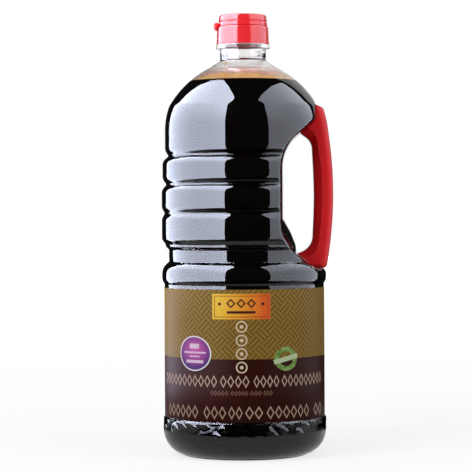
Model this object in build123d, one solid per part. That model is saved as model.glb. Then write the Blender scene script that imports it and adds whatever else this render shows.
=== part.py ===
from build123d import *
from math import radians, tan
import os

# A large sauce bottle in millimetres: a clear blown bottle with rounded ribs and a
# grip recess on its +X side, a moulded handle that fits into the recess, a flip-top
# cap with its thumb tab on the -X side, a wrap-round label and the sauce inside.
# The origin is on the bottle's axis, on the plane that the bottle stands on.

# ---- Body side, from the base up: insets are measured in from body_radius ----
body_radius = 52.7          # widest ring and ribs
foot_inset = 0.5            # plain band below the label
foot_height = 24.0
heel_radius = 16.1
panel_inset = 1.5           # sunk panel that carries the label
panel_height = 86.4
panel_step = 0.8            # height of the slope at the panel's lower edge
panel_rounding = 0.4
ring_height = 5.9           # straight part of the ring above the label
ring_slope_below = 2.2
ring_slope_above = 5.3
ring_rounding = 3.0
waist_inset = 4.5           # smooth narrow band above the ring
waist_height = 7.7
ledge_inset = 2.4           # narrow ledge between waist and lowest rib
ledge_slope = 2.0
ledge_height = 1.3
rib_pitches = (20.0, 18.4, 18.3)     # heights of the three ribs, groove to groove
rib_insets = (0.0, 0.0, 0.6)
groove_insets = (1.9, 3.1, 4.5)      # bottoms of the grooves above each rib
groove_width = 6.6
rib_rounding = 5.0
groove_rounding = 1.0
top_rib_inset = 2.3
top_rib_height = 16.3       # straight part of the top rib, from its groove's bottom
top_rib_taper = 2.8         # how far the top rib leans in to the shoulder
top_rib_taper_height = 15.6
top_rib_bow = 0.7           # how far the lean bows out
shoulder_bow = 2.5          # how far the shoulder bows out from a straight cone
shoulder_height = 24.6
throat_radius = 22.0        # where the shoulder turns into the straight throat
throat_height = 4.8
wall = 0.6                  # blown wall

# ---- Neck ----
neck_radius = 14.7
neck_height = 7.0
throat_lip = 0.7            # width of the small slope where throat meets neck
ring_radius = 17.2          # support ring under the cap
ring_thickness = 2.8
ring_edge_rounding = 0.8
finish_radius = 14.7        # plain tube inside the cap
finish_wall = 2.2
mouth_gap = 0.05            # between the mouth and the cap's deck

# ---- Grip recess on the +X side ----
facet_x = 46.5              # flat behind the handle's upper leg
facet_height = 9.3          # how far the flat runs down from the shoulder
grip_wall_x = 25.4          # deepest wall of the recess
grip_roof_angle = 42.0
grip_floor_angle = 38.0
grip_roof_rounding = 25.7
grip_floor_rounding = 29.0
grip_corner_rounding = 2.0
knee_x = 43.2               # where the floor flattens out above the ring
knee_rise = 2.8
grip_wall_bow = 405.0       # horizontal radius of the recess's wall
bolster_height = 23.0       # swelling low in the recess, above the floor
bolster_reach = 9.2
bolster_sink = 2.5          # how far it runs on below the floor
bolster_swell = 1.9
bolster_bow = 162.0         # horizontal radius of the swelling

# ---- Handle: heights are measured down from the shoulder or up from the ring ----
handle_width = 20.0
handle_clearance = 0.2
handle_top_inset = 1.3      # corners and bow of its back, against body_radius
handle_top_drop = 1.5
handle_neck_reach = 0.9
handle_neck_drop = 10.2
handle_bow_reach = 7.3
handle_heel_reach = 0.3
handle_heel_rise = 0.6
handle_top_slope = 25.7
handle_back_radius = 260.0
handle_corner_rounding = 3.2
handle_edge_rounding = 2.6  # rounding of its long back edges
grip_thickness = 11.7       # from the middle of the back to the grip edge
grip_bow = 1.8
grip_edge_radius = 300.0
hole_top_drop = 23.0        # corners of the finger hole at the grip edge
hole_top_angle = 35.0
hole_top_rounding = 9.0
hole_bottom_rise = 13.8
hole_bottom_angle = 20.0
hole_bottom_rounding = 11.0

# ---- Cap ----
cap_clearance = 0.25
cap_seat_gap = 0.05         # between cap and support ring
cap_bottom_radius = 16.8
cap_top_radius = 16.4
cap_height = 11.7
cap_deck = 1.3
cap_edge_rounding = 0.3
lid_gap = 0.15
lid_radius = 15.8
lid_top_radius = 14.9
lid_height = 7.1
lid_wall = 1.4
lid_edge_rounding = 1.3
lid_groove_height = 2.9     # fine groove around the lid
lid_groove_width = 0.7
lid_groove_depth = 0.4
tab_reach = 2.8             # thumb tab past the lid's side
tab_width = 9.0
tab_drop = 2.8              # how far it hangs over the cap's side
tab_rise = 2.4
tab_gap = 0.2
tab_rounding = 1.2

# ---- Label and contents ----
label_thickness = 0.15
label_gap = 0.02            # glue
label_lower_margin = 0.1
label_upper_margin = 3.1    # left bare below the panel's upper edge
fill_rise = 16.1            # sauce above the foot of the shoulder

# ---- Heights that follow ----
panel_bottom = foot_height + panel_step
panel_top = foot_height + panel_height
ring_bottom = panel_top + ring_slope_below
ring_top = ring_bottom + ring_height
waist_bottom = ring_top + ring_slope_above
waist_top = waist_bottom + waist_height
ledge_bottom = waist_top + ledge_slope
ledge_top = ledge_bottom + ledge_height
grooves_z = [ledge_top + sum(rib_pitches[: i + 1]) for i in range(len(rib_pitches))]
taper_bottom = grooves_z[-1] + top_rib_height
shoulder_bottom = taper_bottom + top_rib_taper_height
shoulder_top = shoulder_bottom + shoulder_height
neck_bottom = shoulder_top + throat_height
support_bottom = neck_bottom + neck_height
support_top = support_bottom + ring_thickness
cap_bottom = support_top + cap_seat_gap
cap_top = cap_bottom + cap_height
finish_top = cap_top - cap_deck - mouth_gap
lid_bottom = cap_top + lid_gap
lid_top = lid_bottom + lid_height
top_rib_radius = body_radius - top_rib_inset
shoulder_radius = top_rib_radius - top_rib_taper
label_bottom = panel_bottom + label_lower_margin
label_top = panel_top - label_upper_margin
fill_top = shoulder_bottom + fill_rise


def side_corners():
    """Corners of the side as (radius, height, rounding), from the heel to the top rib."""
    foot = body_radius - foot_inset
    panel = body_radius - panel_inset
    waist = body_radius - waist_inset
    ledge = body_radius - ledge_inset
    corners = [
        (foot, 0, heel_radius),
        (foot, foot_height, panel_rounding),
        (panel, panel_bottom, panel_rounding),
        (panel, panel_top, panel_rounding),
        (body_radius, ring_bottom, ring_rounding),
        (body_radius, ring_top, ring_rounding),
        (waist, waist_bottom, groove_rounding),
        (waist, waist_top, groove_rounding),
        (ledge, ledge_bottom, panel_rounding),
        (ledge, ledge_top, panel_rounding),
        (body_radius - rib_insets[0], ledge_top + groove_width / 2, ring_rounding),
    ]
    crowns = [body_radius - inset for inset in rib_insets] + [top_rib_radius]
    for below, above, inset, z in zip(crowns, crowns[1:], groove_insets, grooves_z):
        corners.append((below, z - groove_width / 2, rib_rounding))
        corners.append((body_radius - inset, z, groove_rounding))
        corners.append((above, z + groove_width / 2, rib_rounding))
    return corners


def bowed(start, end, bow):
    """Smooth curve between two points that stands out to the right of their chord by bow."""
    chord = Vector(*end) - Vector(*start)
    across = Vector(chord.Y, -chord.X).normalized()
    middle = Vector(*start) + chord / 2 + across * 2 * bow
    return Bezier(start, middle, end)


def body_section(growth):
    """Upright half section of the body without its neck, its side moved out by growth."""
    base = (0, -growth)
    end = (top_rib_radius + growth, taper_bottom)
    corners = [(r + growth, z if z else -growth, rounding) for r, z, rounding in side_corners()]
    points = [base] + [(r, z) for r, z, _ in corners] + [end]
    side = FilletPolyline(*points, radius=[rounding for _, _, rounding in corners])
    taper_end = (shoulder_radius + growth, shoulder_bottom)
    throat_start = (throat_radius + growth, shoulder_top)
    throat_end = (neck_radius + throat_lip + growth, neck_bottom - throat_lip)
    top = (0, neck_bottom)
    side += bowed(end, taper_end, top_rib_bow)
    side += bowed(taper_end, throat_start, shoulder_bow)
    side += Polyline(throat_start, throat_end, (neck_radius + growth, neck_bottom), top)
    return make_face((side + Line(top, base)).edges())


def grown(face, amount):
    """The face with its outline moved out by amount, or in if that is negative."""
    return offset(face, amount, kind=Kind.INTERSECTION) if amount else face


def turned(face, radius, angle=360.0):
    """Solid of the upright face turned about a vertical line at x = radius."""
    axis = Axis((radius, 0, 0), (0, 0, 1))
    return revolve(Plane.XZ * face, axis, angle).rotate(axis, -angle / 2)


def recess_outline():
    """Side view of the grip recess: flat for the handle, roof, deep wall and floor."""
    outside = 2 * body_radius
    facet_bottom = shoulder_bottom - facet_height
    knee_z = ring_top + knee_rise
    wall_top = facet_bottom - (facet_x - grip_wall_x) * tan(radians(grip_roof_angle))
    wall_bottom = knee_z + (knee_x - grip_wall_x) * tan(radians(grip_floor_angle))
    ledge_slope_out = knee_rise / (body_radius - knee_x)
    points = [
        (outside, neck_bottom),
        (facet_x, neck_bottom),
        (facet_x, facet_bottom),
        (grip_wall_x, wall_top),
        (grip_wall_x, wall_bottom),
        (knee_x, knee_z),
        (outside, ring_top - (outside - body_radius) * ledge_slope_out),
    ]
    roundings = [0, grip_corner_rounding, grip_roof_rounding, grip_floor_rounding, grip_corner_rounding]
    path = FilletPolyline(*points, radius=roundings)
    return make_face((path + Line(points[-1], points[0])).edges())


def bolster_outline():
    """Side view of the swelling that fills the recess's lower corner."""
    foot_x = grip_wall_x + bolster_reach
    foot_z = ring_top + knee_rise + (knee_x - foot_x) * tan(radians(grip_floor_angle))
    foot = (foot_x, foot_z - bolster_sink)
    top = (grip_wall_x, foot_z + bolster_height)
    curve = SagittaArc(top, foot, bolster_swell)
    bottom = foot[1] - bolster_sink
    rest = Polyline(foot, (foot_x, bottom), (0, bottom), (0, top[1]), top)
    return make_face((curve + rest).edges())


def body(growth=0.0):
    """The body as a full solid, its surface moved out by growth, or in if negative."""
    blank = turned(body_section(growth), 0)
    wall_axis = grip_wall_x - grip_wall_bow
    bolster_axis = grip_wall_x + bolster_reach - bolster_bow
    recess = turned(grown(recess_outline(), -growth), wall_axis, 60)
    bolster = turned(grown(bolster_outline(), growth), bolster_axis, 90)
    return blank - recess + (blank & bolster)


def cylinder(radius, bottom, top):
    """Upright cylinder on the bottle's axis."""
    return Pos(0, 0, bottom) * Cylinder(radius, top - bottom, align=(Align.CENTER, Align.CENTER, Align.MIN))


def bore():
    """The inside of the neck, from the cavity to the mouth."""
    return cylinder(finish_radius - finish_wall, shoulder_top, finish_top)


def bottle():
    """Blown body with its neck, support ring and plain finish, all one hollow piece."""
    support = cylinder(ring_radius, support_bottom, support_top)
    support = fillet(support.edges(), ring_edge_rounding)
    neck = cylinder(neck_radius, neck_bottom, support_bottom)
    finish = cylinder(finish_radius, support_top, finish_top)
    return body() + neck + support + finish - body(-wall) - bore()


def soy_sauce():
    """The contents, up to the fill level."""
    full = body(-wall) + bore()
    return full & cylinder(2 * body_radius, 0, fill_top)


def handle_outline():
    """Side view of the handle, carried on into the bottle, which is then cut away from it."""
    top_x = body_radius - handle_top_inset
    top_z = shoulder_bottom - handle_top_drop
    neck_z = shoulder_bottom - handle_neck_drop
    heel_z = ring_top + handle_heel_rise
    top_left = top_z + (top_x - grip_wall_x) * tan(radians(handle_top_slope))
    points = [
        (grip_wall_x, top_left),
        (top_x, top_z),
        (body_radius + handle_neck_reach, neck_z),
        (body_radius + handle_bow_reach, (neck_z + heel_z) / 2),
        (body_radius + handle_heel_reach, heel_z),
        (grip_wall_x, heel_z),
    ]
    corner = handle_corner_rounding
    path = FilletPolyline(*points, radius=[corner, corner, handle_back_radius, corner])
    return make_face((path + Line(points[-1], points[0])).edges())


def hole_outline():
    """Side view of the finger hole, carried on into the bottle."""
    back_x = body_radius + handle_bow_reach / 2
    grip_x = back_x - grip_thickness
    top_z = shoulder_bottom - hole_top_drop
    bottom_z = ring_top + hole_bottom_rise
    reach = grip_x - grip_wall_x
    points = [
        (grip_wall_x, top_z + reach * tan(radians(hole_top_angle))),
        (grip_x - grip_bow / 2, top_z),
        (grip_x + grip_bow / 2, (top_z + bottom_z) / 2),
        (grip_x - grip_bow / 2, bottom_z),
        (grip_wall_x, bottom_z - reach * tan(radians(hole_bottom_angle))),
    ]
    path = FilletPolyline(*points, radius=[hole_top_rounding, grip_edge_radius, hole_bottom_rounding])
    return make_face((path + Line(points[-1], points[0])).edges())


def rims(solid):
    """Long edges of a flat plate's two faces, without the upright cut at grip_wall_x."""
    faces = solid.faces().sort_by(Axis.Y)
    edges = faces[0].edges() + faces[-1].edges()
    return [e for e in edges if e.center().X > grip_wall_x + wall]


def handle():
    """Plate with rounded edges and a finger hole, seated against the bottle."""
    plate = extrude(Plane.XZ * handle_outline(), handle_width / 2, both=True)
    plate = fillet(rims(plate), handle_edge_rounding)
    hole = extrude(Plane.XZ * hole_outline(), handle_width, both=True)
    return plate - hole - body(handle_clearance)


def cap_base():
    """Screwed-down lower part of the cap: a slightly tapered skirt under a closed deck."""
    skirt = Pos(0, 0, cap_bottom) * Cone(
        cap_bottom_radius, cap_top_radius, cap_height, align=(Align.CENTER, Align.CENTER, Align.MIN)
    )
    skirt = fillet(skirt.edges(), cap_edge_rounding)
    return skirt - cylinder(finish_radius + cap_clearance, cap_bottom - cap_height, cap_top - cap_deck)


def lid_section():
    """Upright half section of the lid: leaning side with a fine groove, rounded top edge."""
    lean = (lid_radius - lid_top_radius) / lid_height
    groove_low = lid_groove_height - lid_groove_width / 2
    groove_high = lid_groove_height + lid_groove_width / 2
    side = FilletPolyline(
        (0, 0),
        (lid_radius, 0),
        (lid_radius - lean * groove_low, groove_low),
        (lid_radius - lean * lid_groove_height - lid_groove_depth, lid_groove_height),
        (lid_radius - lean * groove_high, groove_high),
        (lid_top_radius, lid_height),
        (0, lid_height),
        radius=[cap_edge_rounding, 0, 0, 0, lid_edge_rounding],
    )
    outline = make_face((side + Line((0, lid_height), (0, 0))).edges())
    hollow_radius = lid_top_radius - lid_wall
    hollow_height = lid_height - lid_wall
    return outline - Pos(hollow_radius / 2, hollow_height / 2) * Rectangle(hollow_radius, hollow_height)


def thumb_tab():
    """Small rounded tab that hangs from the lid over the cap's side."""
    outer = lid_radius + tab_reach
    inner = cap_bottom_radius + tab_gap
    height = tab_drop + tab_rise
    hanging = Box(outer - inner, tab_width, height)
    hanging = fillet(hanging.edges(), min(tab_rounding, (outer - inner) / 2 - tab_gap / 4))
    hanging = Pos(-(outer + inner) / 2, 0, lid_bottom + (tab_rise - tab_drop) / 2) * hanging
    root_depth = (outer + inner) / 2 - lid_top_radius + lid_wall
    root_height = tab_rise - tab_rounding
    root = Box(root_depth, tab_width - 2 * tab_rounding, root_height, align=(Align.MAX, Align.CENTER, Align.MIN))
    return hanging + Pos(-lid_top_radius + lid_wall, 0, lid_bottom) * root


def cap_lid():
    """Flip-up lid, shut, with its thumb tab."""
    shell = Pos(0, 0, lid_bottom) * revolve(Plane.XZ * lid_section(), Axis.Z)
    return shell + thumb_tab()


def label():
    """Thin sleeve glued round the sunk panel."""
    inner = body_radius - panel_inset + label_gap
    outer = cylinder(inner + label_thickness, label_bottom, label_top)
    return outer - cylinder(inner, label_bottom, label_top)


sub_parts = {
    "bottle": bottle,
    "soy_sauce": soy_sauce,
    "handle": handle,
    "cap_base": cap_base,
    "cap_lid": cap_lid,
    "label": label,
}

os.makedirs("parts", exist_ok=True)
for node, make in sub_parts.items():
    export_step(make(), f"parts/{node}.step")
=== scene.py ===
import math

import bpy
import numpy as np
from mathutils import Matrix, Vector


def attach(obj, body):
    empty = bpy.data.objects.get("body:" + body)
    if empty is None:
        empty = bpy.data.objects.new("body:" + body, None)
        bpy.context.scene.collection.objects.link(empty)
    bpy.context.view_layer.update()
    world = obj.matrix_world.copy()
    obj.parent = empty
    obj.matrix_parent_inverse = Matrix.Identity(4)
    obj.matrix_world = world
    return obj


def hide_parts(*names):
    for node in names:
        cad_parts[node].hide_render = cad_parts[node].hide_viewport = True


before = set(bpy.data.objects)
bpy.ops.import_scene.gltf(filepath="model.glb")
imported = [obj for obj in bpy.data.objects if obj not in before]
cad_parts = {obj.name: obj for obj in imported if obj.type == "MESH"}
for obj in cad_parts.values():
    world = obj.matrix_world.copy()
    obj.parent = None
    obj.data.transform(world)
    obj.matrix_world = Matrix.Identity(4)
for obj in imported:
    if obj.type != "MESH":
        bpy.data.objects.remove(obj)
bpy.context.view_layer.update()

# ---------------------------------------------------------------------------
# Studio: pale paper floor, white surround, a tall softbox on the left and a
# dimmer one on the right whose images run down the glossy body, two low panels
# behind, and two plain lamps. The camera stands a little above half height.
# ---------------------------------------------------------------------------
scene = bpy.context.scene
scene.view_settings.view_transform = "Standard"

eye_distance, eye_height, eye_aside = 1.286, 0.1535, -0.0051
horizon_drop = math.atan(21.0 / 2000.0)
lean = math.radians(0.315)
look = Vector((0.0, math.cos(horizon_drop), -math.sin(horizon_drop)))
side = Vector((math.cos(lean), 0.0, -math.sin(lean)))
side = (side - look * side.dot(look)).normalized()
above = side.cross(look)
camera_data = bpy.data.cameras.new("camera")
camera_data.sensor_width = 36.0
camera_data.lens = 36.0 * 2000.0 / 472.0
camera = bpy.data.objects.new("camera", camera_data)
camera.matrix_world = Matrix.Translation((eye_aside, -eye_distance, eye_height)) @ Matrix(
    (side, above, -look)).transposed().to_4x4()
scene.collection.objects.link(camera)
scene.camera = camera


def new_material(name):
    """A material with its Principled BSDF, as (material, nodes, links, shader)."""
    material = bpy.data.materials.new(name)
    material.use_nodes = True
    nodes, links = material.node_tree.nodes, material.node_tree.links
    return material, nodes, links, nodes["Principled BSDF"]


def add(nodes, kind, **values):
    """A new node of that kind: values set its properties, or its inputs by name."""
    node = nodes.new(kind)
    for name, value in values.items():
        if hasattr(node, name):
            setattr(node, name, value)
        else:
            node.inputs[name.replace("_", " ")].default_value = value
    return node


def calc(nodes, links, operation, first, second=0.0, third=0.0, clamp=False):
    """Output of a Math node whose inputs are sockets or numbers."""
    node = nodes.new("ShaderNodeMath")
    node.operation = operation
    node.use_clamp = clamp
    for socket, value in zip(node.inputs, (first, second, third)):
        if isinstance(value, (int, float)):
            socket.default_value = value
        else:
            links.new(value, socket)
    return node.outputs[0]


world = bpy.data.worlds.new("studio")
world.use_nodes = True
scene.world = world
nodes, links = world.node_tree.nodes, world.node_tree.links
surround = nodes["Background"]
path = nodes.new("ShaderNodeLightPath")
white_seen = calc(nodes, links, "MAXIMUM", path.outputs["Is Camera Ray"],
                  path.outputs["Is Transmission Ray"])
soft_fill = 0.42
dark_room = 0.012
dim = calc(nodes, links, "MULTIPLY", path.outputs["Is Glossy Ray"], soft_fill - dark_room)
plain = calc(nodes, links, "SUBTRACT", soft_fill, dim)
level = calc(nodes, links, "MAXIMUM", plain, white_seen)
links.new(level, surround.inputs["Strength"])
surround.inputs["Color"].default_value = (1.0, 1.0, 1.0, 1.0)


def sheet_mesh(name, corners):
    """A four-sided mesh through the given corners."""
    mesh = bpy.data.meshes.new(name)
    mesh.from_pydata(corners, [], [tuple(range(len(corners)))])
    obj = bpy.data.objects.new(name, mesh)
    scene.collection.objects.link(obj)
    return obj


# The paper looks white to the camera. Reflections find only a dim round glow near the foot,
# fading out by a quarter of a metre, and see past the paper further out.
floor = sheet_mesh("floor", [(-6, -6, 0), (6, -6, 0), (6, 6, 0), (-6, 6, 0)])
material, nodes, links, shader = new_material("floor_paper")
shader.inputs["Base Color"].default_value = (0.85, 0.85, 0.85, 1.0)
shader.inputs["Roughness"].default_value = 0.9
shader.inputs["Specular IOR Level"].default_value = 0.1
path = nodes.new("ShaderNodeLightPath")
place = nodes.new("ShaderNodeTexCoord")
from_middle = nodes.new("ShaderNodeVectorMath")
from_middle.operation = "LENGTH"
links.new(place.outputs["Object"], from_middle.inputs[0])
distance = from_middle.outputs["Value"]
paper = nodes.new("ShaderNodeBsdfDiffuse")
paper.inputs["Color"].default_value = (0.32, 0.32, 0.32, 1.0)
paper_white, further_white = 0.74, 0.10
lift = nodes.new("ShaderNodeEmission")
further = calc(nodes, links, "MULTIPLY", distance, further_white, clamp=True)
links.new(calc(nodes, links, "ADD", paper_white, further), lift.inputs["Strength"])
seen = nodes.new("ShaderNodeAddShader")
links.new(paper.outputs[0], seen.inputs[0])
links.new(lift.outputs[0], seen.inputs[1])
white = nodes.new("ShaderNodeMixShader")
links.new(calc(nodes, links, "MAXIMUM", path.outputs["Is Camera Ray"], path.outputs["Is Transmission Ray"]),
          white.inputs["Fac"])
links.new(shader.outputs[0], white.inputs[1])
links.new(seen.outputs[0], white.inputs[2])
table = nodes.new("ShaderNodeEmission")
stretched = add(nodes, "ShaderNodeMapping")
stretched.inputs["Scale"].default_value = (0.5, 1.0, 1.0)
links.new(place.outputs["Object"], stretched.inputs["Vector"])
reach = add(nodes, "ShaderNodeVectorMath", operation="LENGTH")
links.new(stretched.outputs[0], reach.inputs[0])
near = calc(nodes, links, "MULTIPLY_ADD", reach.outputs["Value"], -16.0, 2.5, True)
table_glow = 0.55
links.new(calc(nodes, links, "MULTIPLY", near, table_glow), table.inputs["Strength"])
off_table = nodes.new("ShaderNodeBsdfTransparent")
mirrored = nodes.new("ShaderNodeMixShader")
links.new(calc(nodes, links, "MULTIPLY_ADD", distance, 12.0, -3.0, True), mirrored.inputs["Fac"])
links.new(table.outputs[0], mirrored.inputs[1])
links.new(off_table.outputs[0], mirrored.inputs[2])
either = nodes.new("ShaderNodeMixShader")
links.new(path.outputs["Is Glossy Ray"], either.inputs["Fac"])
links.new(white.outputs[0], either.inputs[1])
links.new(mirrored.outputs[0], either.inputs[2])
links.new(either.outputs[0], nodes["Material Output"].inputs["Surface"])
floor.data.materials.append(material)


def softbox(name, corners, levels, tint):
    """Glowing panel seen only in reflections, its corners in order round its edge.

    A corner is (bearing, distance, height): its bearing is an angle from the camera's side
    round to the right, so it stands at distance * (sin, -cos) of the bearing. The glow runs
    evenly from the first level, at the first corner, to the second, and grows with height.
    """
    turns = [(math.radians(bearing), far, z) for bearing, far, z in corners]
    places = [(far * math.sin(turn), -far * math.cos(turn), z) for turn, far, z in turns]
    panel = sheet_mesh(name, places)
    start = Vector(places[0]).xy
    run = Vector(places[-1]).xy - start
    along = run / run.length_squared
    material, nodes, links, shader = new_material(name)
    nodes.remove(shader)
    place = nodes.new("ShaderNodeTexCoord")
    apart = nodes.new("ShaderNodeSeparateXYZ")
    links.new(place.outputs["Object"], apart.inputs[0])
    share = calc(nodes, links, "MULTIPLY_ADD", apart.outputs["X"], along.x, -start.dot(along))
    share = calc(nodes, links, "MULTIPLY_ADD", apart.outputs["Y"], along.y, share)
    level = calc(nodes, links, "MULTIPLY_ADD", share, levels[1] - levels[0], levels[0])
    higher = calc(nodes, links, "MULTIPLY_ADD", apart.outputs["Z"], 2.5, -0.75, True)
    higher = calc(nodes, links, "MULTIPLY_ADD", higher, 0.45, 1.0)
    glow = nodes.new("ShaderNodeEmission")
    glow.inputs["Color"].default_value = (*tint, 1.0)
    links.new(calc(nodes, links, "MULTIPLY", level, higher), glow.inputs["Strength"])
    links.new(glow.outputs[0], nodes["Material Output"].inputs["Surface"])
    panel.data.materials.append(material)
    panel.visible_camera = panel.visible_diffuse = panel.visible_shadow = False
    panel.visible_transmission = False


softbox("softbox_left", [(-26, 0.85, -2.0), (-26, 0.85, 2.36), (-128, 0.85, 2.36), (-146, 0.85, -2.0)],
        (10.8, 7.0), (0.76, 0.82, 1.0))
softbox("softbox_right", [(34.5, 0.95, -2.0), (36, 0.95, 2.06), (133, 0.95, 1.30), (102, 0.95, -2.0)],
        (2.35, 2.7), (0.84, 0.88, 1.0))
softbox("softbox_rear", [(138, 0.95, 0.345), (138, 0.95, 1.4), (170, 0.95, 1.4), (170, 0.95, 0.345)],
        (0.5, 0.5), (1.0, 1.0, 1.0))
softbox("backdrop_strip", [(171, 1.3, -0.1), (171, 1.3, 1.6), (189, 1.3, 1.6), (189, 1.3, -0.1)],
        (0.9, 0.9), (1.0, 0.98, 0.96))


def lamp(name, place, size, power):
    """Square area lamp aimed at the bottle's middle, left out of reflections."""
    data = bpy.data.lights.new(name, "AREA")
    data.size = size
    data.energy = power
    obj = bpy.data.objects.new(name, data)
    aim = Vector((0.0, 0.0, 0.14)) - Vector(place)
    obj.rotation_euler = aim.to_track_quat("-Z", "Y").to_euler()
    obj.location = place
    obj.visible_glossy = False
    scene.collection.objects.link(obj)


lamp("key_lamp", (-0.85, -0.95, 0.95), 0.9, 10.0)
lamp("fill_lamp", (1.0, -0.8, 0.7), 0.9, 4.5)

# ---------------------------------------------------------------------------
# Bottle: blown from clear PET, ribs and a grip recess in one thin wall, with a
# thick support ring and a plain finish under the cap. The foot below the label
# is pressed with crisp star-shaped creases.
# ---------------------------------------------------------------------------
mm = 0.001
wall = 0.6
finish_radius, finish_wall, mouth_height = 14.7, 2.2, 273.0


def rounded_path(points, roundings, spacings, turn_step=18.0):
    """Points along a line of straight runs whose corners are rounded by arcs.

    An arc of radius r at a corner that turns by t starts r * tan(t / 2) before it;
    runs are divided at about their spacing, arcs at about turn_step degrees.
    """
    points = [np.array(p, float) for p in points]
    last, out = points[0], []
    for i in range(1, len(points)):
        run = points[i] - points[i - 1]
        ahead = run / np.linalg.norm(run)
        if i == len(points) - 1:
            stop, arc = points[i], np.zeros((0, 2))
        else:
            after = points[i + 1] - points[i]
            after = after / np.linalg.norm(after)
            turn = math.atan2(ahead[0] * after[1] - ahead[1] * after[0], ahead @ after)
            radius = roundings[i - 1]
            stop = points[i] - ahead * radius * math.tan(abs(turn) / 2)
            across = np.array((-ahead[1], ahead[0])) * math.copysign(1.0, turn)
            count = max(1, round(abs(math.degrees(turn)) / turn_step))
            t = np.linspace(0, abs(turn), count + 1)[1:, None]
            arc = stop + radius * (np.sin(t) * ahead + (1 - np.cos(t)) * across)
        length = np.linalg.norm(stop - last)
        count = max(1, round(length / spacings[i - 1]))
        out += [last + (stop - last) * np.linspace(0, 1, count, endpoint=False)[:, None], stop[None], arc]
        last = arc[-1] if len(arc) else stop
    path = np.concatenate(out)
    keep = np.r_[True, np.linalg.norm(np.diff(path, axis=0), axis=1) > 1e-4]
    return path[keep]


def bow(start, control, end, count):
    """Points of a curve pulled towards a control point: (1-t)^2, 2t(1-t), t^2."""
    t = np.linspace(0, 1, count)[:, None]
    return (1 - t) ** 2 * np.array(start) + 2 * t * (1 - t) * np.array(control) + t**2 * np.array(end)


side_corners = [
    (52.2, 0.0, 16.1), (52.2, 24.0, 0.4), (51.2, 24.8, 0.4), (51.2, 109.6, 0.4),
    (52.7, 111.6, 5.5), (52.7, 120.2, 8.0), (48.2, 124.0, 1.0), (48.2, 131.5, 1.0),
    (50.3, 133.5, 0.4), (50.3, 134.8, 0.4), (52.7, 138.1, 3.0),
    (52.7, 151.5, 5.0), (50.8, 154.8, 1.0), (52.7, 158.1, 5.0),
    (52.7, 169.9, 5.0), (49.6, 173.2, 1.0), (52.1, 176.5, 5.0),
    (52.1, 188.2, 5.0), (48.2, 191.5, 1.0), (50.4, 194.8, 5.0),
]


def side_profile(fine):
    """Radius and height up the body's outside, from the base's centre to the neck."""
    corners = [(0.0, 0.0)] + [(r, z) for r, z, _ in side_corners] + [(50.4, 207.8)]
    roundings = [rounding for _, _, rounding in side_corners]
    spacings = [6 * fine, 0.8 * fine, 0.4, 16.0] + [1.05 * fine] * (len(corners) - 5)
    side = rounded_path(corners, roundings, spacings, 15 * fine)
    taper = bow((50.4, 207.8), (50.38, 215.85), (47.6, 223.4), round(14 / fine))
    shoulder = bow((47.6, 223.4), (38.3, 239.3), (22.0, 248.0), round(30 / fine))
    throat = rounded_path([(22.0, 248.0), (15.4, 252.1), (14.7, 252.8)], [0.8], [1.0, 1.0])
    return np.concatenate([side, taper[1:], shoulder[1:], throat[1:]])


# Outlines (distance, height) of the grip recess and of the swelling low in it.
recess = rounded_path(
    [(200.0, 252.9), (46.5, 252.8), (46.5, 214.1), (25.4, 195.1), (25.4, 135.2), (43.2, 121.3),
     (105.4, 103.0)],
    [0.01, 2.0, 25.7, 29.0, 2.0], [40, 4, 2, 4, 2, 4], 5.0)
bolster = np.array([
    (-60.0, 155.0), (25.4, 151.0), (29.8, 143.1), (33.2, 134.6), (34.3, 124.0), (34.3, 100.0)])
wall_axis, bolster_axis = 379.6, 127.4
rim_rounding, swell_rounding = 2.2, 1.2
recess_top = 253.0


def soft_least(a, b, width):
    """The smaller of two values, blended over a width where they are close."""
    near = np.maximum(width - np.abs(a - b), 0) / width
    return np.minimum(a, b) - near**2 * width / 4


def turned_wall(around, height, outline, axis, sink):
    """Distance from the bottle's axis to a wall turned about an upright line behind it.

    The wall's distance from that line is outline(height) + axis; a ray at the angle
    around meets it at -axis * cos + sqrt(distance^2 - (axis * sin)^2).
    """
    order = np.argsort(outline[:, 1])
    reach = np.interp(height, outline[order, 1], outline[order, 0]) + axis - sink
    inside = np.maximum(reach, 1.0) ** 2 - (axis * np.sin(around)) ** 2
    return -axis * np.cos(around) + np.sqrt(np.maximum(inside, 0.0))


grip_wall = 2.4


def body_radius_at(around, radius, height, sink=0.0):
    """The side's radius, cut by the grip recess with its swelling, its rim rounded."""
    hollow = turned_wall(around, height, recess, wall_axis, sink)
    swell = turned_wall(around, height, bolster, bolster_axis, sink)
    hollow = -soft_least(-hollow, -swell, swell_rounding)
    cut = soft_least(radius, hollow, rim_rounding)
    return np.where(height < recess_top, cut, radius)


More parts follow.
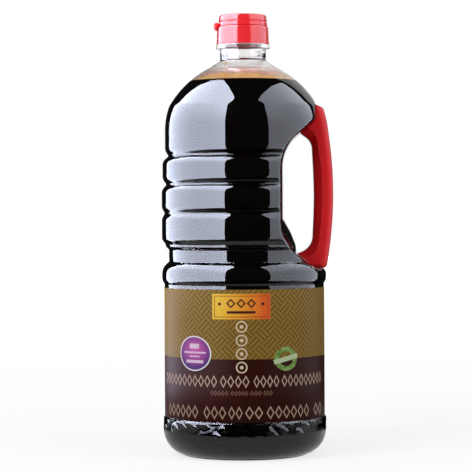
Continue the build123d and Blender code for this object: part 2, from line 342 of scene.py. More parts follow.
def surface_mesh(name, grid, ends):
    """Mesh of a rows x columns grid of points in millimetres, its columns joined in a ring.

    With ends "capped", a point in the middle of the first row and one in the middle of the
    last row close it; with "joined", the last row runs on into the first.
    """
    rows, columns = grid.shape[:2]
    points = grid.reshape(-1, 3)
    index = np.arange(rows * columns).reshape(rows, columns)
    after, above = np.roll(index, -1, axis=1), np.roll(index, -1, axis=0)
    quads = np.stack([index, after, np.roll(after, -1, axis=0), above], axis=-1)
    caps = np.zeros((0, 3), int)
    if ends == "capped":
        quads = quads[:-1]
        low = np.stack([after[0], index[0], np.full(columns, len(points))], axis=-1)
        high = np.stack([index[-1], after[-1], np.full(columns, len(points) + 1)], axis=-1)
        caps = np.concatenate([low, high])
        points = np.concatenate([points, grid[0].mean(0)[None], grid[-1].mean(0)[None]])
    quads = quads.reshape(-1, 4)
    corners = points[np.concatenate([quads[:, :3], quads[:, [0, 2, 3]], caps])]
    volume = np.einsum("ij,ij->i", corners[:, 0], np.cross(corners[:, 1], corners[:, 2])).sum()
    if volume < 0:
        quads, caps = quads[:, ::-1], caps[:, ::-1]
    mesh = bpy.data.meshes.new(name)
    mesh.from_pydata((points * mm).tolist(), [], quads.tolist() + caps.tolist())
    mesh.polygons.foreach_set("use_smooth", np.ones(len(mesh.polygons), bool))
    mesh.update()
    obj = bpy.data.objects.new(name, mesh)
    scene.collection.objects.link(obj)
    return obj


def turned_grid(profile, columns, radius_at=None, twist=0.0):
    """Points of a profile carried round the axis, as rows x columns x 3.

    Rows in the foot are turned by the twist for each millimetre below its upper edge,
    so that the columns run along the foot's slanting facets.
    """
    radius, height = profile[:, :1], profile[:, 1:]
    around = np.linspace(-np.pi, np.pi, columns, endpoint=False)[None, :]
    around = around + twist * np.clip(foot_top - height, 0, 16)
    if radius_at is not None:
        radius = radius_at(around, radius, height)
    radius = radius + 0 * around
    height = height + 0 * around
    return np.stack([radius * np.cos(around), radius * np.sin(around), height], axis=-1)


def fold(x):
    """Zigzag wave between -1 and 1 with a period of 1."""
    return 4 * np.abs(x - np.floor(x + 0.5)) - 1


foot_top = 24.2
facets_round, facet_rise = 34, 9.0


def crease(around, height):
    """Pressed relief of the foot: thin slanting facets that fall away sharply on one side.

    Across a facet it rises over four fifths and drops over the last one. Crossing waves
    break the facets into shards, and all of it fades out towards the base.
    """
    turn = around / (2 * np.pi)
    slant = facets_round * turn + (height - foot_top) / facet_rise + 0.12 * np.sin(5 * around + 0.5)
    slant = slant - np.floor(slant)
    facet = np.minimum(slant / 0.8, (1 - slant) / 0.2)
    broken = np.clip(0.45 + 0.9 * fold(11 * turn - height / 16 + 0.3 * np.sin(7 * around)), 0.0, 1.0)
    strength = np.clip((height - 10.0) / 11.0, 0, 1) ** 1.6 * np.clip((foot_top - 0.2 - height) / 0.3, 0, 1)
    return strength * (0.30 * facet * broken + 0.04 * fold(19 * turn - height / 13) - 0.10)


def outer_radius(around, radius, height):
    """The body's outside with the foot's creases."""
    return body_radius_at(around, radius, height) + np.where(height < foot_top, crease(around, height), 0.0)


def inner_radius(around, radius, height):
    """The inside of the wall."""
    return body_radius_at(around, radius, height, grip_wall)


outside = side_profile(1.0)
bore = finish_radius - finish_wall
neck = rounded_path(
    [(14.7, 252.8), (14.7, 259.8), (17.2, 259.8), (17.2, 262.6), (14.7, 262.6), (14.7, mouth_height),
     (bore, mouth_height), (bore, 257.0), (13.3, 253.1), (21.35, 248.0)],
    [0.5, 0.35, 0.35, 0.2, 0.2, 0.2, 2.0, 1.5], [1.5, 1.0, 1.0, 1.0, 3.0, 1.0, 3.0, 1.5, 1.5], 22.0)
inside = side_profile(2.0)
inside[:, 0] -= wall
inside[inside[:, 1] < wall, 1] = wall
inside = inside[(inside[:, 1] < 247.6) & (inside[:, 0] > 0.8)][::-1]
outer_grid = turned_grid(outside[1:], 272, outer_radius, 2 * np.pi / (facets_round * facet_rise))
neck_grid = turned_grid(neck[1:], 272)
inner_grid = turned_grid(inside, 272, inner_radius)
bottle = surface_mesh("bottle_shell", np.concatenate([outer_grid, neck_grid, inner_grid]), "capped")


def noise_bump_group():
    """Node group: a bump from object-space noise, given its scale, detail, strength and height."""
    group = bpy.data.node_groups.new("noise_bump", "ShaderNodeTree")
    for name in ("Scale", "Detail", "Strength", "Distance"):
        group.interface.new_socket(name, in_out="INPUT", socket_type="NodeSocketFloat")
    group.interface.new_socket("Normal", in_out="OUTPUT", socket_type="NodeSocketVector")
    nodes, links = group.nodes, group.links
    given, result = nodes.new("NodeGroupInput"), nodes.new("NodeGroupOutput")
    place = nodes.new("ShaderNodeTexCoord")
    noise = add(nodes, "ShaderNodeTexNoise", Roughness=0.5)
    bump = nodes.new("ShaderNodeBump")
    links.new(place.outputs["Object"], noise.inputs["Vector"])
    links.new(given.outputs["Scale"], noise.inputs["Scale"])
    links.new(given.outputs["Detail"], noise.inputs["Detail"])
    links.new(noise.outputs["Fac"], bump.inputs["Height"])
    links.new(given.outputs["Strength"], bump.inputs["Strength"])
    links.new(given.outputs["Distance"], bump.inputs["Distance"])
    links.new(bump.outputs["Normal"], result.inputs["Normal"])
    return group


noise_bump = noise_bump_group()
material, nodes, links, shader = new_material("clear_pet")
shader.inputs["Transmission Weight"].default_value = 1.0
shader.inputs["IOR"].default_value = 1.57
shader.inputs["Base Color"].default_value = (0.97, 0.965, 0.955, 1.0)
place = nodes.new("ShaderNodeTexCoord")
scuff = add(nodes, "ShaderNodeTexNoise", Scale=420.0, Detail=3.0, Roughness=0.6)
links.new(place.outputs["Object"], scuff.inputs["Vector"])
tone = add(nodes, "ShaderNodeMapRange", clamp=True)
for name, value in (("From Min", 0.45), ("From Max", 0.75), ("To Min", 0.015), ("To Max", 0.06)):
    tone.inputs[name].default_value = value
links.new(scuff.outputs["Fac"], tone.inputs["Value"])
links.new(tone.outputs["Result"], shader.inputs["Roughness"])
ripple = add(nodes, "ShaderNodeGroup", node_tree=noise_bump, Scale=55.0, Detail=2.0,
             Strength=0.12, Distance=0.0006)
links.new(ripple.outputs["Normal"], shader.inputs["Normal"])
bottle.data.materials.append(material)
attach(bottle, "root")
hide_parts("bottle")

# ---------------------------------------------------------------------------
# Sauce: very dark brown, almost black in this depth. It fills the bottle to a
# level on the shoulder, with a low meniscus, and wets the wall.
# ---------------------------------------------------------------------------
fill_height = 239.1
into_wall = 0.3

sauce_side = side_profile(1.0)
sauce_side[:, 0] -= into_wall
sauce_side = sauce_side[(sauce_side[:, 1] < fill_height) & (sauce_side[:, 0] > 1.0)]
sauce_side[sauce_side[:, 1] < wall, 1] = into_wall
shoulder_slope = 1.05
edge = sauce_side[-1, 0] - (fill_height - sauce_side[-1, 1]) * shoulder_slope
meniscus = 0.35
surface = np.array([
    (edge, fill_height), (edge - 1.2, fill_height - 0.1), (edge - 2.5, fill_height - 0.25),
    (edge * 0.8, fill_height - meniscus), (edge * 0.5, fill_height - meniscus),
    (edge * 0.2, fill_height - meniscus), (0.8, fill_height - meniscus)])
sauce_profile = np.concatenate([sauce_side, surface])


def sauce_radius(around, radius, height):
    """The contents' side, halfway into the wall, with the foot's creases."""
    side = body_radius_at(around, radius, height, grip_wall - into_wall)
    return side + np.where(height < foot_top, crease(around, height), 0.0)


sauce = surface_mesh("sauce", turned_grid(sauce_profile, 216, sauce_radius), "capped")


def cloud_tint_group():
    """Node group: object-space clouds from one colour, at the noise's low value, to another."""
    group = bpy.data.node_groups.new("cloud_tint", "ShaderNodeTree")
    for name in ("Scale", "Low", "High"):
        group.interface.new_socket(name, in_out="INPUT", socket_type="NodeSocketFloat")
    for name in ("Dark", "Light"):
        group.interface.new_socket(name, in_out="INPUT", socket_type="NodeSocketColor")
    group.interface.new_socket("Color", in_out="OUTPUT", socket_type="NodeSocketColor")
    nodes, links = group.nodes, group.links
    given, result = nodes.new("NodeGroupInput"), nodes.new("NodeGroupOutput")
    place = nodes.new("ShaderNodeTexCoord")
    noise = add(nodes, "ShaderNodeTexNoise", Detail=3.0, Roughness=0.55)
    share = add(nodes, "ShaderNodeMapRange", clamp=True)
    mix = add(nodes, "ShaderNodeMix", data_type="RGBA")
    links.new(place.outputs["Object"], noise.inputs["Vector"])
    links.new(given.outputs["Scale"], noise.inputs["Scale"])
    links.new(noise.outputs["Fac"], share.inputs["Value"])
    links.new(given.outputs["Low"], share.inputs["From Min"])
    links.new(given.outputs["High"], share.inputs["From Max"])
    links.new(share.outputs["Result"], mix.inputs["Factor"])
    links.new(given.outputs["Dark"], mix.inputs[6])
    links.new(given.outputs["Light"], mix.inputs[7])
    links.new(mix.outputs[2], result.inputs["Color"])
    return group


cloud_tint = cloud_tint_group()
material, nodes, links, shader = new_material("dark_sauce")
tint = add(nodes, "ShaderNodeGroup", node_tree=cloud_tint, Scale=18.0, Low=0.2, High=0.8,
           Dark=(0.0010, 0.0006, 0.0005, 1.0), Light=(0.0026, 0.0011, 0.0008, 1.0))
links.new(tint.outputs["Color"], shader.inputs["Base Color"])
shader.inputs["Roughness"].default_value = 0.2
shader.inputs["Specular IOR Level"].default_value = 0.01
sauce.data.materials.append(material)
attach(sauce, "root")
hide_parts("soy_sauce")

# ---------------------------------------------------------------------------
# Film: sauce left on the inside of the wall above the level by pouring, amber
# in a ragged band, a faint haze higher up, and a few drops. It is thin enough
# to let light through, so its index is low: the real film touches the wall.
# ---------------------------------------------------------------------------
film_thickness = 0.08
clear_of_wall = 0.06
band_height = 2.9
film_top = 246.8


def film_grid(bottom, top, columns=240, rows=10):
    """A thin closed sheet on the inside of the wall between two edges.

    Its rows run up the outer face and down the inner one; at a share t of the way up the
    height is bottom + (top - bottom) * t.
    """
    around = np.linspace(-np.pi, np.pi, columns, endpoint=False)[None, :]
    share = np.r_[np.linspace(0, 1, rows), np.linspace(1, 0, rows)][:, None]
    inward = np.repeat([0.0, film_thickness], rows)[:, None]
    height = bottom(around) + (top(around) - bottom(around)) * share
    radius = np.interp(height, outside[:, 1], outside[:, 0]) - wall - clear_of_wall - inward
    return np.stack([radius * np.cos(around), radius * np.sin(around), height], axis=-1)


def ragged_edge(around):
    """Height of the amber band's upper edge: waves of several lengths round the wall."""
    waves = 0.7 * np.sin(3 * around + 1.0) + 0.5 * np.sin(8 * around) + 0.45 * np.sin(19 * around + 2.0)
    return fill_height + band_height + waves + 0.3 * np.sin(43 * around)


def level_edge(height):
    """An even edge at one height all round."""
    return lambda around: height + 0 * around


band = surface_mesh("amber_band", film_grid(level_edge(fill_height - 0.5), ragged_edge), "joined")
film = surface_mesh("wet_film", film_grid(lambda around: ragged_edge(around) + 0.05, level_edge(film_top)),
                    "joined")


def drop_mesh(name, bearing, height, wide, tall):
    """A low drop on the inside of the wall: a dome over an ellipse, highest at its foot.

    A point at (across, up) of the ellipse stands off the wall by its half ball's depth.
    """
    turn = np.linspace(0, 2 * np.pi, 24, endpoint=False)[None, :]
    tilt = np.linspace(0.06, np.pi - 0.06, 14)[:, None]
    across, up = wide * np.cos(turn) * np.sin(tilt), tall * np.sin(turn) * np.sin(tilt)
    depth = 0.45 * wide * np.cos(tilt) * (1 - 0.35 * up / tall)
    z = height + up * 0.72
    radius = np.interp(z, outside[:, 1], outside[:, 0]) - wall - 0.1 - np.maximum(depth, -0.05) * 0.8
    around = bearing + across / radius
    grid = np.stack([radius * np.cos(around), radius * np.sin(around), z], axis=-1)
    return surface_mesh(name, grid, "capped")


drops = [drop_mesh("drop_1", math.radians(-125), 249.6, 0.9, 1.3),
         drop_mesh("drop_2", math.radians(-54), 245.6, 0.7, 1.2),
         drop_mesh("drop_3", math.radians(-150), 244.2, 0.6, 0.9),
         drop_mesh("drop_4", math.radians(70), 246.0, 0.8, 1.1)]

material, nodes, links, shader = new_material("wet_sauce")
place = nodes.new("ShaderNodeTexCoord")
apart = nodes.new("ShaderNodeSeparateXYZ")
links.new(place.outputs["Object"], apart.inputs[0])
ragged = add(nodes, "ShaderNodeTexNoise", Scale=120.0, Detail=3.0, Roughness=0.55)
links.new(place.outputs["Object"], ragged.inputs["Vector"])
rise = calc(nodes, links, "MULTIPLY_ADD", apart.outputs["Z"], 1000.0, -fill_height)
rise = calc(nodes, links, "ADD", rise, calc(nodes, links, "MULTIPLY_ADD", ragged.outputs["Fac"], -5.0, 2.5))
tint = nodes.new("ShaderNodeValToRGB")
tint.color_ramp.elements[0].position = 0.25
tint.color_ramp.elements[0].color = (0.82, 0.47, 0.33, 1.0)
tint.color_ramp.elements[1].position = 0.75
tint.color_ramp.elements[1].color = (0.92, 0.70, 0.65, 1.0)
links.new(calc(nodes, links, "DIVIDE", rise, 9.0, clamp=True), tint.inputs["Fac"])
links.new(tint.outputs["Color"], shader.inputs["Base Color"])
shader.inputs["Transmission Weight"].default_value = 1.0
shader.inputs["IOR"].default_value = 1.05
shader.inputs["Roughness"].default_value = 0.08
runs = add(nodes, "ShaderNodeGroup", node_tree=noise_bump, Scale=120.0, Detail=3.0,
           Strength=0.4, Distance=0.0005)
links.new(runs.outputs["Normal"], shader.inputs["Normal"])
film.data.materials.append(material)

material, nodes, links, shader = new_material("amber_sauce")
tint = add(nodes, "ShaderNodeGroup", node_tree=cloud_tint, Scale=160.0, Low=0.36, High=0.64,
           Dark=(0.95, 0.60, 0.14, 1.0), Light=(1.0, 0.86, 0.38, 1.0))
links.new(tint.outputs["Color"], shader.inputs["Base Color"])
shader.inputs["Transmission Weight"].default_value = 1.0
shader.inputs["IOR"].default_value = 1.02
shader.inputs["Roughness"].default_value = 0.05
for piece in (band, *drops):
    piece.data.materials.append(material)
for piece in (film, band, *drops):
    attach(piece, "root")

# ---------------------------------------------------------------------------
# Handle: moulded in red plastic, snapped into the grip recess. Its back is
# rounded; on each face a hollow runs beside a thinner rim round the finger hole.
# ---------------------------------------------------------------------------
seat_gap = 0.15
back_line = rounded_path(
    [(30.0, 232.2), (51.4, 221.9), (53.6, 213.2), (60.0, 166.15), (53.0, 119.1), (30.0, 119.1)],
    [3.2, 3.2, 260.0, 3.2], [1.0] * 5, 1.5)
grip_line = rounded_path(
    [(30.0, 210.5), (43.75, 200.4), (45.55, 166.35), (43.75, 132.3), (30.0, 127.05)],
    [9.0, 300.0, 11.0], [1.0] * 4, 1.5)
# Half of the grip's section: (share of the depth from the finger side to the back, half width).
half_section = np.array([
    (0.0, 0.0), (0.0, 2.6), (0.0, 4.4), (0.01, 5.2), (0.035, 5.8), (0.08, 6.4), (0.16, 7.2), (0.24, 8.0),
    (0.32, 8.8), (0.37, 9.3), (0.395, 9.6), (0.42, 9.82), (0.46, 9.92), (0.53, 9.98), (0.62, 10.0),
    (0.71, 9.9), (0.79, 9.65), (0.86, 9.15), (0.92, 8.3), (0.96, 7.2), (0.985, 5.8), (0.997, 4.0),
    (1.0, 2.0), (1.0, 0.0)])
slope_end, slope_width = 0.42, 5.4
section = np.concatenate([half_section * (1, -1), half_section[-2:0:-1]])


def along(line, share, marks):
    """Points of a line at shares of the handle's length, its bends tied to given marks.

    Between two marks the share runs evenly with the line's own length.
    """
    length = np.r_[0, np.cumsum(np.linalg.norm(np.diff(line, axis=0), axis=1))]
    stops = [length[np.argmin(np.linalg.norm(line - mark, axis=1))] for mark in marks]
    run = np.interp(share, [0.0, 0.22, 0.5, 0.78, 1.0], [0.0, *stops, length[-1]])
    return np.stack([np.interp(run, length, line[:, i]) for i in (0, 1)], axis=-1)


def handle_points(share):
    """Section carried from the bottle round the grip: inner + (outer - inner) * depth.

    Its sloping rim, up to slope_end, keeps its width where the legs widen.
    """
    outer = along(back_line, share, [(52.5, 217.5), (56.8, 166.0), (53.0, 119.1)])
    inner = along(grip_line, share, [(43.75, 200.4), (45.1, 166.3), (43.75, 132.3)])
    width = np.linalg.norm(outer - inner, axis=-1)
    rim = np.minimum(slope_end * width, slope_width)
    low = np.minimum(section[None, :, 0], slope_end) / slope_end
    high = np.maximum(section[None, :, 0] - slope_end, 0) / (1 - slope_end)
    middle = inner + (outer - inner) * ((rim * low + (width - rim) * high) / width)[..., None]
    return np.stack([middle[..., 0], section[None, :, 1] + 0 * share, middle[..., 1]], axis=-1)


share = np.linspace(0, 1, 800)[:, None] + np.zeros((1, len(section)))
points = handle_points(share)
side_at = np.interp(points[..., 2], outside[:, 1], outside[:, 0])
limit = body_radius_at(np.arctan2(points[..., 1], points[..., 0]), side_at, points[..., 2]) + seat_gap
free = np.hypot(points[..., 0], points[..., 1]) > limit
first = share[np.argmax(free, axis=0), 0]
last = share[len(share) - 1 - np.argmax(free[::-1], axis=0), 0]
share = first + (last - first) * np.linspace(0, 1, 150)[:, None]
handle = surface_mesh("grip_handle", handle_points(share), "capped")

material, nodes, links, shader = new_material("red_handle")
tint = add(nodes, "ShaderNodeGroup", node_tree=cloud_tint, Scale=30.0, Low=0.2, High=0.8,
           Dark=(0.62, 0.006, 0.009, 1.0), Light=(0.74, 0.010, 0.014, 1.0))
links.new(tint.outputs["Color"], shader.inputs["Base Color"])
shader.inputs["Roughness"].default_value = 0.32
shader.inputs["Specular IOR Level"].default_value = 0.2
grain = add(nodes, "ShaderNodeGroup", node_tree=noise_bump, Scale=900.0, Detail=2.0,
            Strength=0.1, Distance=0.0002)
links.new(grain.outputs["Normal"], shader.inputs["Normal"])
handle.data.materials.append(material)
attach(handle, "root")
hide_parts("handle")

# ---------------------------------------------------------------------------
# Cap: two-piece flip-top moulded in glossy red plastic, screwed down on to the
# support ring, its lid shut. The thumb tab is a smooth nub on the lid's edge.
# ---------------------------------------------------------------------------
skirt = rounded_path(
    [(15.0, 262.65), (16.8, 262.65), (16.4, 274.35), (13.5, 274.35), (13.5, 273.1), (14.95, 273.1),
     (14.95, 262.65)],
    [0.25, 1.1, 0.1, 0.1, 0.2], [1.0, 1.0, 1.5, 1.0, 1.0, 2.0], 15.0)
cap_base = surface_mesh("cap_skirt", turned_grid(skirt, 192), "joined")
lid_side = rounded_path(
    [(0.6, 274.5), (15.75, 274.5), (15.62, 276.75), (15.1, 277.2), (15.1, 277.45), (15.55, 277.9),
     (14.95, 281.6), (0.6, 281.6)],
    [0.35, 0.15, 0.1, 0.1, 0.2, 1.0], [3.0, 0.8, 0.4, 0.3, 0.4, 0.8, 3.0], 15.0)
cap_lid = surface_mesh("flip_lid", turned_grid(lid_side, 192), "capped")


edge_rounding, edge_start, edge_centre = 1.1, 273.25, 15.42


def nub_points():
    """A ball stretched to the tab's size, squared off a little.

    Its inner side follows the skirt and the skirt's rounded top edge, and ends in the lid.
    """
    turn = np.linspace(0, 2 * np.pi, 40, endpoint=False)[None, :]
    tilt = np.linspace(0.04, np.pi - 0.04, 24)[:, None]
    squared = [np.sign(v) * np.abs(v) ** 0.75 for v in (
        np.sin(tilt) * np.cos(turn), np.sin(tilt) * np.sin(turn), np.cos(tilt) + 0 * turn)]
    x, y, z = (c + a * v for c, a, v in zip((-16.75, 0.0, 274.35), (1.85, 4.4, 2.55), squared))
    over_edge = np.clip(z - edge_start, 0, edge_rounding)
    skirt_side = -edge_centre - np.sqrt(edge_rounding**2 - over_edge**2)
    return np.stack([np.minimum(x, skirt_side), y, z], axis=-1)


nub = surface_mesh("thumb_tab", nub_points(), "capped")

material, nodes, links, shader = new_material("red_cap")
tint = add(nodes, "ShaderNodeGroup", node_tree=cloud_tint, Scale=60.0, Low=0.2, High=0.8,
           Dark=(0.88, 0.022, 0.030, 1.0), Light=(0.95, 0.032, 0.042, 1.0))
links.new(tint.outputs["Color"], shader.inputs["Base Color"])
shader.inputs["Roughness"].default_value = 0.14
shader.inputs["Specular IOR Level"].default_value = 0.68
# The tab is the same plastic with a matt surface, for grip.
tab_material = material.copy()
tab_material.name = "red_cap_tab"
shader = tab_material.node_tree.nodes["Principled BSDF"]
shader.inputs["Roughness"].default_value = 0.5
shader.inputs["Specular IOR Level"].default_value = 0.2
for piece, finish in ((cap_base, material), (cap_lid, material), (nub, tab_material)):
    piece.data.materials.append(finish)
    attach(piece, "root")
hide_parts("cap_base")
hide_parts("cap_lid")

# ---------------------------------------------------------------------------
# Label: thin printed film glued round the sunk panel, gold above and dark brown
# below. The panel keeps it clear of knocks.
# ---------------------------------------------------------------------------
label_inner, label_film = 51.22, 0.15
label_bottom, label_top = 24.9, 107.3
label_radius = label_inner + label_film
half_turn = math.pi * label_radius
edge = 0.05
strip = np.array([
    (label_inner, label_bottom), (label_radius - edge, label_bottom), (label_radius, label_bottom + edge),
    (label_radius, 45.0), (label_radius, 66.0), (label_radius, 87.0),
    (label_radius, label_top - edge), (label_radius - edge, label_top), (label_inner, label_top),
    (label_inner, 66.0)])
label = surface_mesh("label_film", turned_grid(strip, 256), "joined")
mesh = label.data
spots = np.empty(len(mesh.vertices) * 3)
mesh.vertices.foreach_get("co", spots)
loops = np.empty(len(mesh.loops), int)
mesh.loops.foreach_get("vertex_index", loops)
x, y, z = (spots.reshape(-1, 3) / mm).T[:, loops].reshape(3, -1, 4)
turns = np.arctan2(x, -y) / (2 * np.pi) + 0.5
turns += (turns < 0.25) & (turns.max(axis=1, keepdims=True) > 0.75)
print_map = np.stack([turns, (z - label_bottom) / (label_top - label_bottom)], axis=-1)
mesh.uv_layers.new(name="print").data.foreach_set("uv", print_map.ravel())

material, nodes, links, shader = new_material("printed_film")
place = add(nodes, "ShaderNodeUVMap", uv_map="print")
apart = nodes.new("ShaderNodeSeparateXYZ")
links.new(place.outputs["UV"], apart.inputs[0])
across = calc(nodes, links, "MULTIPLY_ADD", apart.outputs[0], 2 * half_turn, -half_turn)
up = calc(nodes, links, "MULTIPLY_ADD", apart.outputs[1], label_top - label_bottom, label_bottom)


def box_mask(x, y, half_wide, half_high, rounding, soft=0.12):
    """1 inside a rounded rectangle about the point where x and y are 0, else 0."""
    px = calc(nodes, links, "SUBTRACT", calc(nodes, links, "ABSOLUTE", x), half_wide - rounding)
    py = calc(nodes, links, "SUBTRACT", calc(nodes, links, "ABSOLUTE", y), half_high - rounding)
    px = calc(nodes, links, "MAXIMUM", px, 0.0)
    py = calc(nodes, links, "MAXIMUM", py, 0.0)
    far = calc(nodes, links, "SQRT", calc(nodes, links, "ADD", calc(nodes, links, "POWER", px, 2.0),
                                         calc(nodes, links, "POWER", py, 2.0)))
    return calc(nodes, links, "MULTIPLY_ADD", shifted(far, rounding), -1.0 / soft, 0.5, True)


def shifted(socket, amount):
    """The value less an amount."""
    return calc(nodes, links, "SUBTRACT", socket, amount)


def painted(below, colour, mask):
    """The colour below with another laid over it where the mask is 1."""
    mix = nodes.new("ShaderNodeMix")
    mix.data_type = "RGBA"
    links.new(mask, mix.inputs["Factor"])
    for socket, value in ((mix.inputs[6], below), (mix.inputs[7], colour)):
        if isinstance(value, tuple):
            socket.default_value = (*value, 1.0)
        else:
            links.new(value, socket)
    return mix.outputs[2]


# Gold ground: stripes in two diagonal directions, changing over in square cells.
diagonal = math.sqrt(0.5)
first = calc(nodes, links, "MULTIPLY", calc(nodes, links, "ADD", across, up), diagonal)
second = calc(nodes, links, "MULTIPLY", calc(nodes, links, "SUBTRACT", across, up), diagonal)
stripe, cell = 2.5, 7.5
odd = calc(nodes, links, "ADD", calc(nodes, links, "FLOOR", calc(nodes, links, "DIVIDE", first, cell)),
           calc(nodes, links, "FLOOR", calc(nodes, links, "DIVIDE", second, cell)))
odd = calc(nodes, links, "FLOORED_MODULO", odd, 2.0)
waves = [calc(nodes, links, "PINGPONG", value, stripe / 2) for value in (first, second)]
weave = calc(nodes, links, "ADD", calc(nodes, links, "MULTIPLY", waves[0], odd),
             calc(nodes, links, "MULTIPLY", waves[1], calc(nodes, links, "SUBTRACT", 1.0, odd)))
weave = calc(nodes, links, "MULTIPLY_ADD", weave, 3.0, -1.0, True)
gold = painted((0.118, 0.062, 0.007), (0.230, 0.136, 0.024), weave)
brown = (0.022, 0.0026, 0.0008)
seam_height = 64.2
upper = calc(nodes, links, "MULTIPLY_ADD", shifted(up, seam_height), 8.0, 0.5, True)
colour = painted(brown, gold, upper)


def outline_mask(x, y, half_wide, half_high, rounding, stroke):
    """1 on the line of that stroke just inside a rounded rectangle, else 0."""
    inner = max(rounding - stroke, 0.05)
    return calc(nodes, links, "SUBTRACT", box_mask(x, y, half_wide, half_high, rounding),
                box_mask(x, y, half_wide - stroke, half_high - stroke, inner), clamp=True)


def spot_mask(x, y, radius, soft=0.12):
    """1 inside a circle about the point where x and y are 0, else 0."""
    far = calc(nodes, links, "SQRT", calc(nodes, links, "ADD", calc(nodes, links, "MULTIPLY", x, x),
                                         calc(nodes, links, "MULTIPLY", y, y)))
    return calc(nodes, links, "MULTIPLY_ADD", shifted(far, radius), -1.0 / soft, 0.5, True)


def joined(masks):
    """The highest of several masks."""
    most = masks[0]
    for mask in masks[1:]:
        most = calc(nodes, links, "MAXIMUM", most, mask)
    return most


# Plate: yellow to orange, framed, with three plain diamonds over a bar and a dot at each side.
plate_x, plate_z = shifted(across, -2.2), shifted(up, 96.9)
fade = calc(nodes, links, "MULTIPLY_ADD", plate_x, 0.034, 0.50, True)
warm = painted((0.80, 0.50, 0.030), (0.66, 0.105, 0.014), fade)
colour = painted(colour, warm, box_mask(plate_x, plate_z, 18.35, 7.85, 0.3))
colour = painted(colour, (0.21, 0.035, 0.008), outline_mask(plate_x, plate_z, 17.2, 6.7, 0.3, 0.45))
facets = []
for x in (-6.4, 0.0, 6.4):
    lean_x = calc(nodes, links, "ADD", shifted(plate_x, x), shifted(plate_z, 1.9))
    lean_z = calc(nodes, links, "SUBTRACT", shifted(plate_x, x), shifted(plate_z, 1.9))
    facets.append(outline_mask(lean_x, lean_z, 3.0, 3.0, 0.5, 1.3))
dots = [spot_mask(shifted(plate_x, x), shifted(plate_z, 1.6), 1.0) for x in (-13.6, 13.6)]
bar = box_mask(plate_x, shifted(plate_z, -3.6), 9.0, 0.8, 0.6)
colour = painted(colour, (0.045, 0.012, 0.006), joined([*facets, *dots, bar]))

# Column of four plain rings, each round a small dot, under the plate.
column_x = shifted(across, -2.0)
rings = [calc(nodes, links, "SUBTRACT", spot_mask(column_x, shifted(up, z), 3.6),
              spot_mask(column_x, shifted(up, z), 2.8), clamp=True) for z in (84.4, 75.9, 67.6, 59.2)]
middles = [spot_mask(column_x, shifted(up, z), 1.1) for z in (84.4, 75.9, 67.6, 59.2)]
colour = painted(colour, (0.62, 0.50, 0.36), joined(rings + middles))


def lozenge_row(stretches, middle, half_high, pitch, tone):
    """A row of outlined lozenges: each stretch of arc is divided at about the pitch.

    The line of a lozenge is where |x| / half_wide + |z| / half_high is about 0.84.
    """
    masks = []
    for start, stop in stretches:
        count = max(1, round((stop - start) / pitch))
        step = (stop - start) / count
        inside = shifted(calc(nodes, links, "FLOORED_MODULO", shifted(across, start), step), step / 2)
        wide = calc(nodes, links, "DIVIDE", calc(nodes, links, "ABSOLUTE", inside), step * 0.46)
        high = calc(nodes, links, "DIVIDE", calc(nodes, links, "ABSOLUTE", shifted(up, middle)), half_high)
        off_line = calc(nodes, links, "ABSOLUTE", shifted(calc(nodes, links, "ADD", wide, high), 0.84))
        chain = calc(nodes, links, "MULTIPLY_ADD", off_line, -12.0, 2.5, True)
        along_row = shifted(across, (start + stop) / 2)
        stretch = box_mask(along_row, shifted(up, middle), (stop - start) / 2, 9.0, 0.05)
        masks.append(calc(nodes, links, "MULTIPLY", chain, stretch))
    return painted(colour, tone, joined(masks))


# Three lines of plain lozenges on the brown field.
colour = lozenge_row([(-67.5, -17.5), (-16.0, 2.9), (5.1, 22.1), (23.4, 62.8)],
                     50.4, 3.9, 4.6, (0.50, 0.34, 0.27))
colour = lozenge_row([(-22.3, -10.4), (-9.0, 2.0), (3.0, 10.5), (11.4, 17.5)],
                     43.2, 1.6, 2.4, (0.24, 0.13, 0.09))
colour = lozenge_row([(-62.5, -30.9), (-27.4, -11.7), (-10.8, -1.4), (-0.3, 11.4), (13.2, 46.3),
                      (50.8, 63.7)], 31.0, 4.2, 5.2, (0.44, 0.29, 0.21))

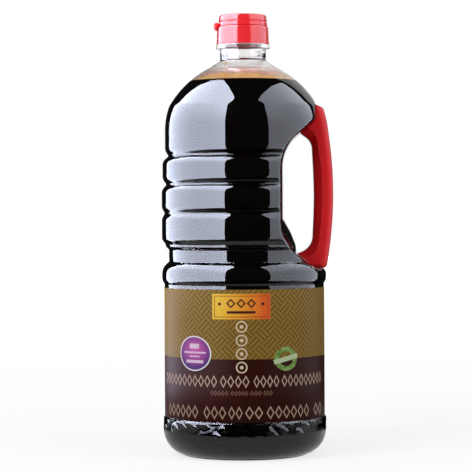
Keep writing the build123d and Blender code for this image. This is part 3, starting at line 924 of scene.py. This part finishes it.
# Round badge on the left: white rim, magenta at its middle and purple round it.
badge_x = calc(nodes, links, "MULTIPLY", shifted(across, -33.9), 10.95 / 12.4)
badge_z = shifted(up, 67.4)
glow_z = shifted(badge_z, 2.0)
far = calc(nodes, links, "SQRT", calc(nodes, links, "ADD", calc(nodes, links, "MULTIPLY", badge_x, badge_x),
                                     calc(nodes, links, "MULTIPLY", glow_z, glow_z)))
fade = calc(nodes, links, "MULTIPLY_ADD", far, -0.105, 1.15, True)
orchid = painted((0.065, 0.020, 0.135), (0.50, 0.095, 0.36), fade)
colour = painted(colour, (0.74, 0.72, 0.74), spot_mask(badge_x, badge_z, 10.95))
colour = painted(colour, orchid, spot_mask(badge_x, badge_z, 10.2))
bar_sizes = ((4.6, 3.3, 1.5), (0.6, 7.6, 0.5), (-1.8, 3.6, 0.4), (-5.0, 6.0, 0.9))
badge_bars = joined([box_mask(badge_x, shifted(badge_z, z), wide, high, 0.4)
                     for z, wide, high in bar_sizes])
colour = painted(colour, (0.66, 0.50, 0.62), badge_bars)

# Ring badge on the right, crossed by a pale band that rises to the right.
ring_x = calc(nodes, links, "MULTIPLY", shifted(across, 26.9), 7.4 / 8.3)
ring_z = shifted(up, 64.0)
hoop = calc(nodes, links, "SUBTRACT", spot_mask(ring_x, ring_z, 7.4), spot_mask(ring_x, ring_z, 4.5),
            clamp=True)
speckle = add(nodes, "ShaderNodeTexNoise", Scale=420.0, Detail=1.0)
links.new(nodes.new("ShaderNodeTexCoord").outputs["Object"], speckle.inputs["Vector"])
worn = calc(nodes, links, "MULTIPLY_ADD", speckle.outputs["Fac"], 6.0, -2.6, True)
colour = painted(colour, painted((0.10, 0.19, 0.035), (0.23, 0.35, 0.11), worn), hoop)
tilt_cos, tilt_sin = math.cos(math.radians(14)), math.sin(math.radians(14))
tilted_x = calc(nodes, links, "ADD", calc(nodes, links, "MULTIPLY", ring_x, tilt_cos),
                calc(nodes, links, "MULTIPLY", ring_z, tilt_sin))
tilted_z = calc(nodes, links, "SUBTRACT", calc(nodes, links, "MULTIPLY", ring_z, tilt_cos),
                calc(nodes, links, "MULTIPLY", ring_x, tilt_sin))
colour = painted(colour, (0.40, 0.50, 0.28), box_mask(tilted_x, tilted_z, 7.8, 1.5, 0.4))

# The film's tone wanders a little under the print.
wear = add(nodes, "ShaderNodeGroup", node_tree=cloud_tint, Scale=35.0, Low=0.3, High=0.7,
           Dark=(0.90, 0.90, 0.90, 1.0), Light=(1.0, 1.0, 1.0, 1.0))
printed = add(nodes, "ShaderNodeMix", data_type="RGBA", blend_type="MULTIPLY")
printed.inputs["Factor"].default_value = 1.0
links.new(colour, printed.inputs[6])
links.new(wear.outputs["Color"], printed.inputs[7])
links.new(printed.outputs[2], shader.inputs["Base Color"])
shader.inputs["Roughness"].default_value = 0.45
shader.inputs["Specular IOR Level"].default_value = 0.065
mesh.materials.append(material)
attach(label, "root")
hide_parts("label")
